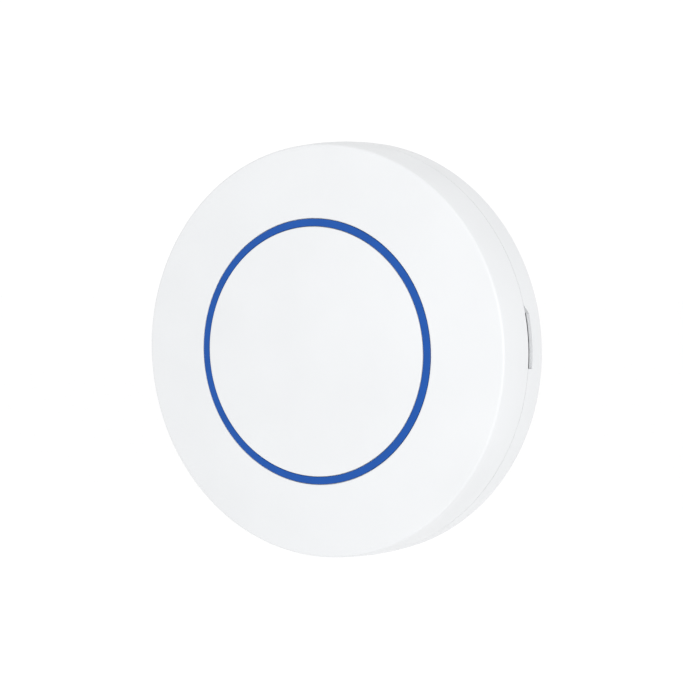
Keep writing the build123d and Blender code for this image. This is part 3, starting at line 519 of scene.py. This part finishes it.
def circuit_board():
    """Solder mask over tracks that run in patches along or across, with plated vias."""
    mask, copper, plating = (0.008, 0.085, 0.045), (0.022, 0.17, 0.085), (0.62, 0.55, 0.38)
    patch_size, via_spacing, via_size = 9.0, 3.1, 0.11
    track_pitch, track_share = 1.1, 0.42
    shader = Shader("board_green", mask, 0.32, specular=0.55)
    patch = shader.math("LESS_THAN", shader.cell_value(patch_size), 0.5)
    along = shader.stripes("X", track_pitch, track_share)
    across = shader.stripes("Z", track_pitch, track_share)
    tracks = shader.math("ADD", shader.math("MULTIPLY", along, patch),
                         shader.math("MULTIPLY", across, shader.math("SUBTRACT", 1.0, patch)))
    vias = shader.math("LESS_THAN", shader.cells(via_spacing), via_size)
    weave = shader.noise(0.35, 2.0)
    masked = shader.mix(tracks, shader.mix(weave, scaled(mask, 0.8), scaled(mask, 1.15)), copper)
    shader.colour(shader.mix(vias, masked, plating))
    shader.bump(shader.math("ADD", tracks, shader.math("MULTIPLY", vias, 1.4)), 0.035)
    shader.roughen(weave, 0.26, 0.38)
    return shader


def per_piece(name, first, second, roughness, edge=0.08):
    """Small ceramic parts that differ from one to the next."""
    shader = Shader(name, first, roughness)
    island = shader.node("ShaderNodeNewGeometry").outputs["Random Per Island"]
    body = shader.mix(shader.ramp(island, start=0.45, end=0.55), first, second)
    shader.colour(shader.mix(shader.ramp(shader.noise(0.5), 0.0, 0.3), body, scaled(first, 1.6)))
    shader.bump(shader.noise(0.25), 0.008, edge)
    shader.roughen(shader.noise(0.8), roughness - 0.08, roughness + 0.1)
    return shader


def clear_acrylic():
    """Clear moulded light guide with slightly uneven faces."""
    shader = Shader("clear_guide", (0.93, 0.96, 0.97), 0.08)
    shader.set("Transmission Weight", 0.92)
    shader.set("IOR", 1.49)
    shader.roughen(shader.noise(5.0, 5.0), 0.05, 0.2)
    shader.bump(shader.noise(2.2, 3.0), 0.01)
    return shader


def blank_label():
    """Satin film with fine printed rules and no writing."""
    shader = Shader("label", (0.74, 0.75, 0.76), 0.34, specular=0.5)
    rules = shader.stripes("Z", 6.0, 0.04)
    film = shader.mix(shader.ramp(shader.noise(3.0)), (0.70, 0.71, 0.72), (0.76, 0.77, 0.78))
    shader.colour(shader.mix(rules, film, (0.42, 0.43, 0.45)))
    shader.bump(shader.noise(0.3, 2.0), 0.006)
    shader.roughen(shader.noise(9.0), 0.28, 0.42)
    return shader


def wound_tape():
    """Layers of polyester tape with overlapping turns."""
    shader = Shader("winding", (0.62, 0.42, 0.045), 0.36, specular=0.6)
    turns = shader.stripes("Z", 2.3, 0.08)
    tape = shader.mix(shader.ramp(shader.noise(2.4)), (0.58, 0.38, 0.035), (0.70, 0.50, 0.07))
    shader.colour(shader.mix(turns, tape, (0.33, 0.2, 0.02)))
    shader.bump(shader.math("SUBTRACT", shader.noise(1.2), turns), 0.05, 0.25)
    shader.roughen(shader.noise(1.5), 0.28, 0.48)
    return shader


def light_emitter():
    """White lamp body with yellow phosphor spots."""
    shader = Shader("led", (0.85, 0.84, 0.78), 0.3)
    spot = shader.math("LESS_THAN", shader.cells(2.4), 0.28)
    shader.colour(shader.mix(spot, (0.86, 0.85, 0.79), (0.80, 0.58, 0.10)))
    shader.bump(shader.noise(0.4), 0.01, 0.1)
    shader.roughen(shader.noise(0.9), 0.22, 0.42)
    return shader


def blue_ring():
    """Blue tinted plastic with a satin top."""
    colour = (0.0022, 0.064, 0.305)
    shader = Shader("light_blue", colour, 0.45, specular=0.25)
    shader.colour(shader.mix(shader.ramp(shader.noise(9.0)), scaled(colour, 0.95), scaled(colour, 1.05)))
    shader.bump(shader.noise(0.3, 2.0), 0.004)
    shader.roughen(shader.noise(5.0), 0.38, 0.52)
    return shader


MATERIALS = {name: shader.material for name, shader in {
    "shell_white": moulded("shell_white", (0.648, 0.658, 0.669), 0.42, edge=0.2),
    "bracket_plastic": moulded("bracket_plastic", (0.52, 0.53, 0.54), 0.5, grain=0.7, depth=0.02, edge=0.3),
    "inner_white": moulded("inner_white", (0.66, 0.67, 0.67), 0.4, grain=0.6, depth=0.008, edge=0.15),
    "plunger": moulded("plunger", (0.62, 0.62, 0.58), 0.28, grain=0.4, depth=0.004, edge=0.15),
    "switch": moulded("switch", (0.02, 0.02, 0.023), 0.42, grain=0.3, depth=0.01, edge=0.15),
    "chip_black": moulded("chip_black", (0.018, 0.018, 0.02), 0.5, grain=0.22, depth=0.012, edge=0.08),
    "coax": moulded("coax", (0.025, 0.025, 0.028), 0.38, grain=0.35, depth=0.01),
    "pad_blue": moulded("pad_blue", (0.16, 0.27, 0.40), 0.75, grain=0.5, depth=0.03, edge=0.1),
    "ferrite": moulded("ferrite", (0.035, 0.034, 0.033), 0.62, grain=0.25, depth=0.03, edge=0.2),
    "cast_aluminium": worn_metal("cast_aluminium", (0.60, 0.61, 0.62), 0.46, grain=0.45, depth=0.03,
                                 edge=0.35),
    "tin_sheet": worn_metal("tin_sheet", (0.74, 0.73, 0.70), 0.34, stretch=(1, 1, 6), grain=1.2,
                            depth=0.003, edge=0.12),
    "steel_screw": worn_metal("steel_screw", (0.52, 0.53, 0.56), 0.3, grain=0.3, edge=0.12),
    "capacitor": worn_metal("capacitor", (0.74, 0.75, 0.76), 0.28, stretch=(1, 7, 1), edge=0.2),
    "gold": worn_metal("gold", (0.86, 0.60, 0.20), 0.24, grain=0.3, depth=0.003, edge=0.05),
    "passive": per_piece("passive", (0.30, 0.20, 0.11), (0.03, 0.03, 0.032), 0.45),
    "board_green": circuit_board(),
    "clear_guide": clear_acrylic(),
    "label": blank_label(),
    "winding": wound_tape(),
    "led": light_emitter(),
    "light_blue": blue_ring(),
}.items()}


def dress_cad_nodes():
    """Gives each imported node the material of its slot."""
    for row in frame["record"]["subparts"]:
        mesh = NODES[row["node"]].data
        mesh.materials.clear()
        mesh.materials.append(MATERIALS[row["material_slot"]])


# ---------------------------------------------------------------- light, floor, camera

def add_camera():
    """Looks at the face from its right and slightly above, a little off its centre."""
    right = Vector((math.cos(AZIMUTH), math.sin(AZIMUTH), 0.0))
    ahead = Vector((-math.sin(AZIMUTH) * math.cos(ELEVATION),
                    math.cos(AZIMUTH) * math.cos(ELEVATION), -math.sin(ELEVATION)))
    up = right.cross(ahead)
    camera = new_object("camera", bpy.data.cameras.new("camera"))
    camera.data.lens = LENS_MM
    camera.data.sensor_width = SENSOR_MM
    camera.data.clip_start = CLIP_NEAR
    camera.data.clip_end = CLIP_FAR
    place = to_frame(0, 0, FACE_Z) + right * CAMERA_ASIDE + up * CAMERA_ABOVE - ahead * CAMERA_DISTANCE
    turn = Matrix((right, up, -ahead)).transposed().to_4x4()
    camera.matrix_world = Matrix.Translation(place) @ turn
    bpy.context.scene.camera = camera


def add_world():
    """Even white surroundings."""
    scene = bpy.context.scene
    scene.view_settings.view_transform = "Standard"
    scene.world = bpy.data.worlds.new("studio")
    scene.world.use_nodes = True
    background = scene.world.node_tree.nodes["Background"]
    background.inputs["Color"].default_value = (1, 1, 1, 1)
    background.inputs["Strength"].default_value = WORLD_STRENGTH


def add_floor():
    corners = [(x * FLOOR_HALF, y * FLOOR_HALF, FLOOR_LEVEL)
               for x, y in ((-1, -1), (1, -1), (1, 1), (-1, 1))]
    mesh = bpy.data.meshes.new("floor")
    mesh.from_pydata(corners, [], [(0, 1, 2, 3)])
    floor = new_object("floor", mesh)
    surface = moulded("floor", (0.98, 0.98, 0.98), 0.9, grain=2.0, depth=0.02, specular=0.1)
    mesh.materials.append(surface.material)


def add_softbox(name, place, size, power):
    """Square area lamp aimed at the frame's origin."""
    lamp = bpy.data.lights.new(name, "AREA")
    lamp.size = size
    lamp.energy = power
    holder = new_object(name, lamp)
    holder.location = place
    holder.rotation_euler = (-Vector(place)).to_track_quat("-Z", "Y").to_euler()


front_cover()
light_ring()
dress_cad_nodes()

add_world()
add_floor()
for softbox in SOFTBOXES:
    add_softbox(*softbox)
add_camera()
